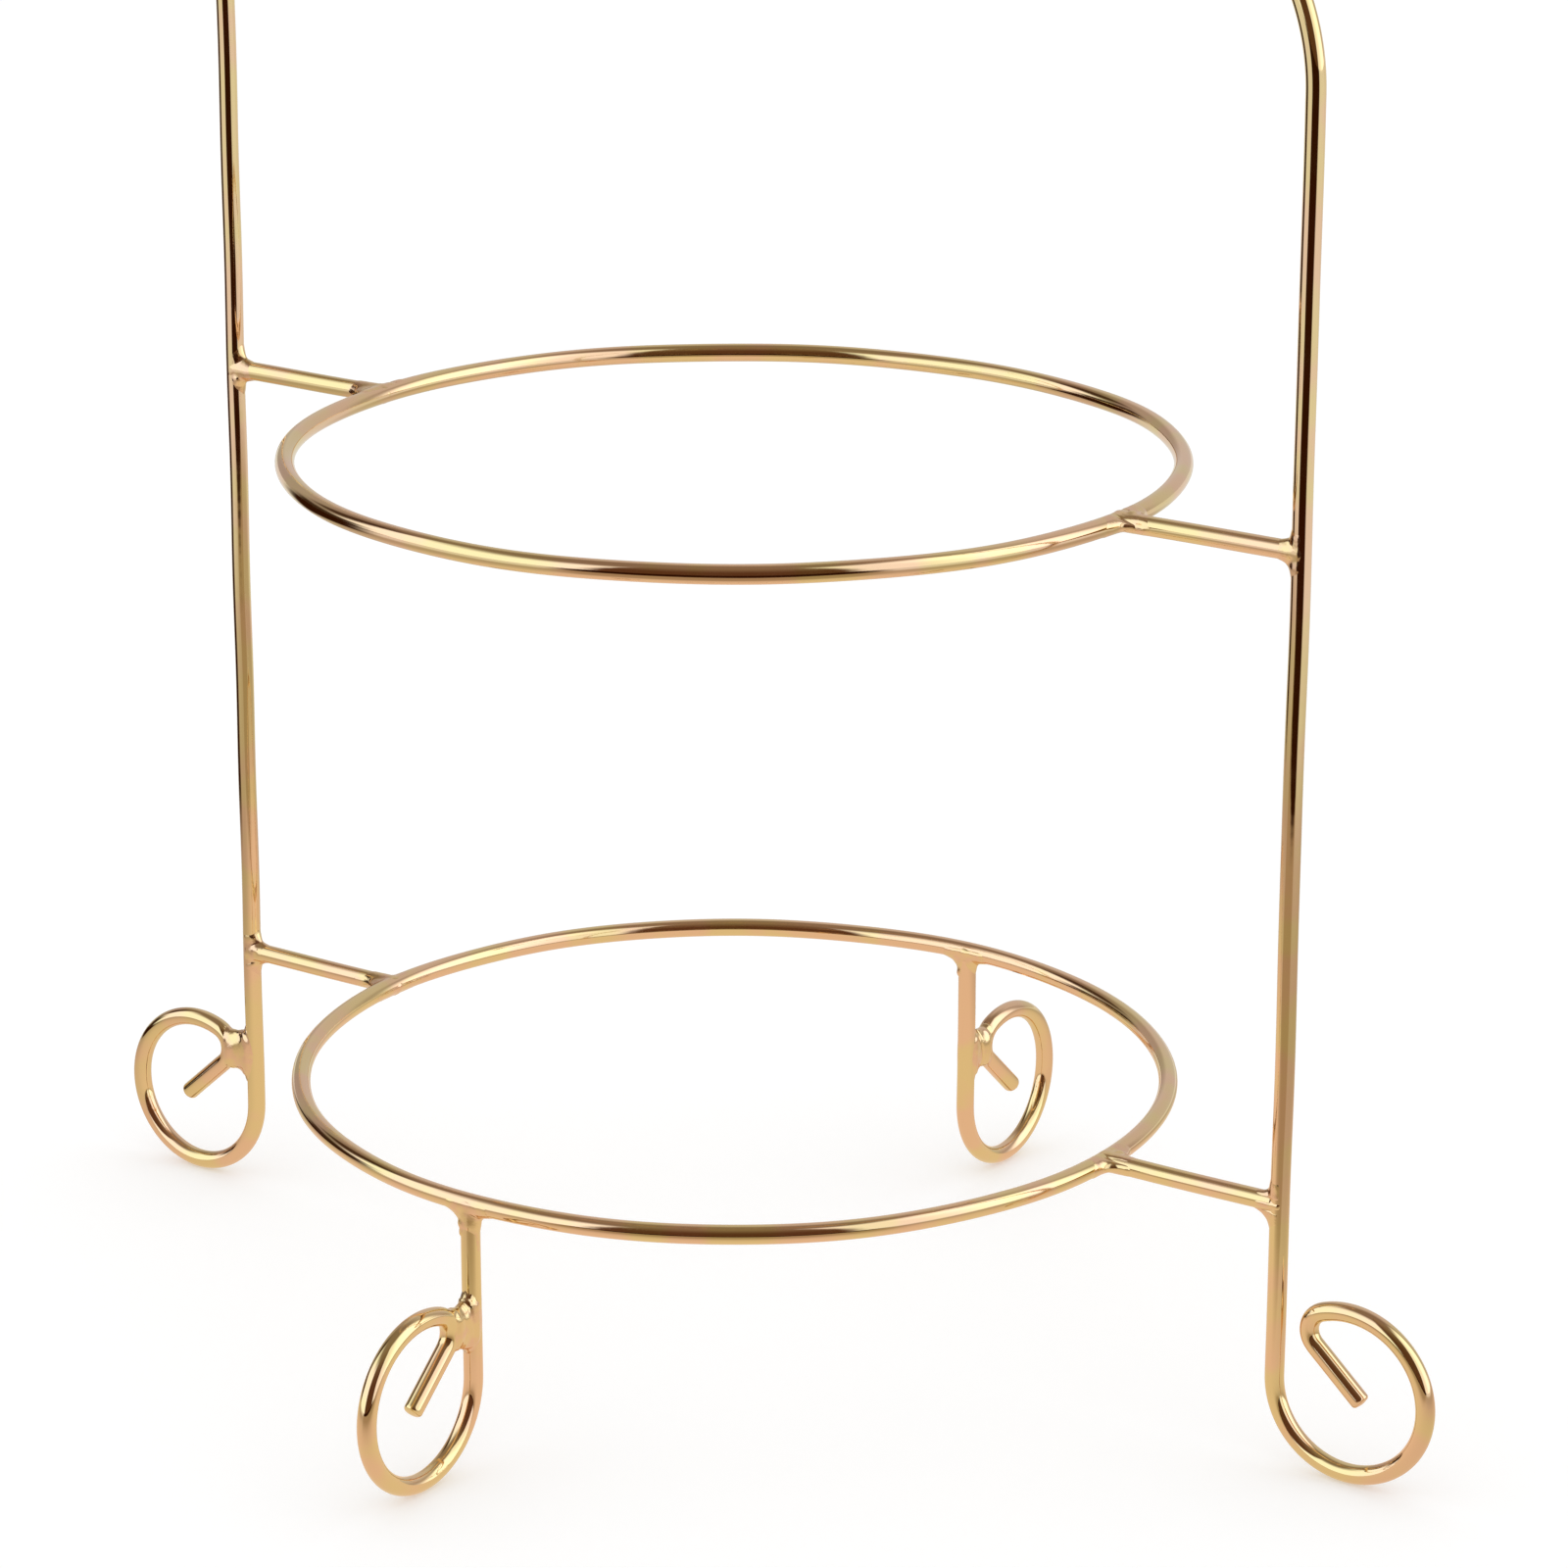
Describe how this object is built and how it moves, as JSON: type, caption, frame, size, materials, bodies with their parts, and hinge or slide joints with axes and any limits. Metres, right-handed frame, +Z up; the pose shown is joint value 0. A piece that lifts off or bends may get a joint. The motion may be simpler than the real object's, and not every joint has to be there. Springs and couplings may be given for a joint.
{
  "type": "tiered cake stand",
  "caption": "Wire cake stand: an arched bow with scroll feet carries stacked plate rings on short struts, with separate scroll feet at front and rear.",
  "frame": {"origin": "on the table, midway between the two uprights and under the centre of both rings", "axes": "+Z up, +X in the plane of the bow towards the right upright, -Y towards the front foot"},
  "size_m": [0.3398, 0.2578, 0.3584],
  "materials": {
    "gold_wire": "polished",
    "gold_weld": "gloss"
  },
  "bodies": {
    "root": {"bow_frame": "gold_wire", "lower_ring": "gold_wire", "upper_ring": "gold_wire", "lower_left_strut": "gold_wire", "lower_right_strut": "gold_wire", "upper_left_strut": "gold_wire", "upper_right_strut": "gold_wire", "front_foot": "gold_wire", "rear_foot": "gold_wire", "lower_left_ring_weld": "gold_weld", "lower_right_ring_weld": "gold_weld", "upper_left_ring_weld": "gold_weld", "upper_right_ring_weld": "gold_weld", "lower_left_upright_weld": "gold_weld", "lower_right_upright_weld": "gold_weld", "upper_left_upright_weld": "gold_weld", "upper_right_upright_weld": "gold_weld", "front_foot_weld": "gold_weld", "rear_foot_weld": "gold_weld", "left_scroll_weld": "gold_weld", "front_scroll_weld": "gold_weld", "rear_scroll_weld": "gold_weld"}
  },
  "joints": []
}
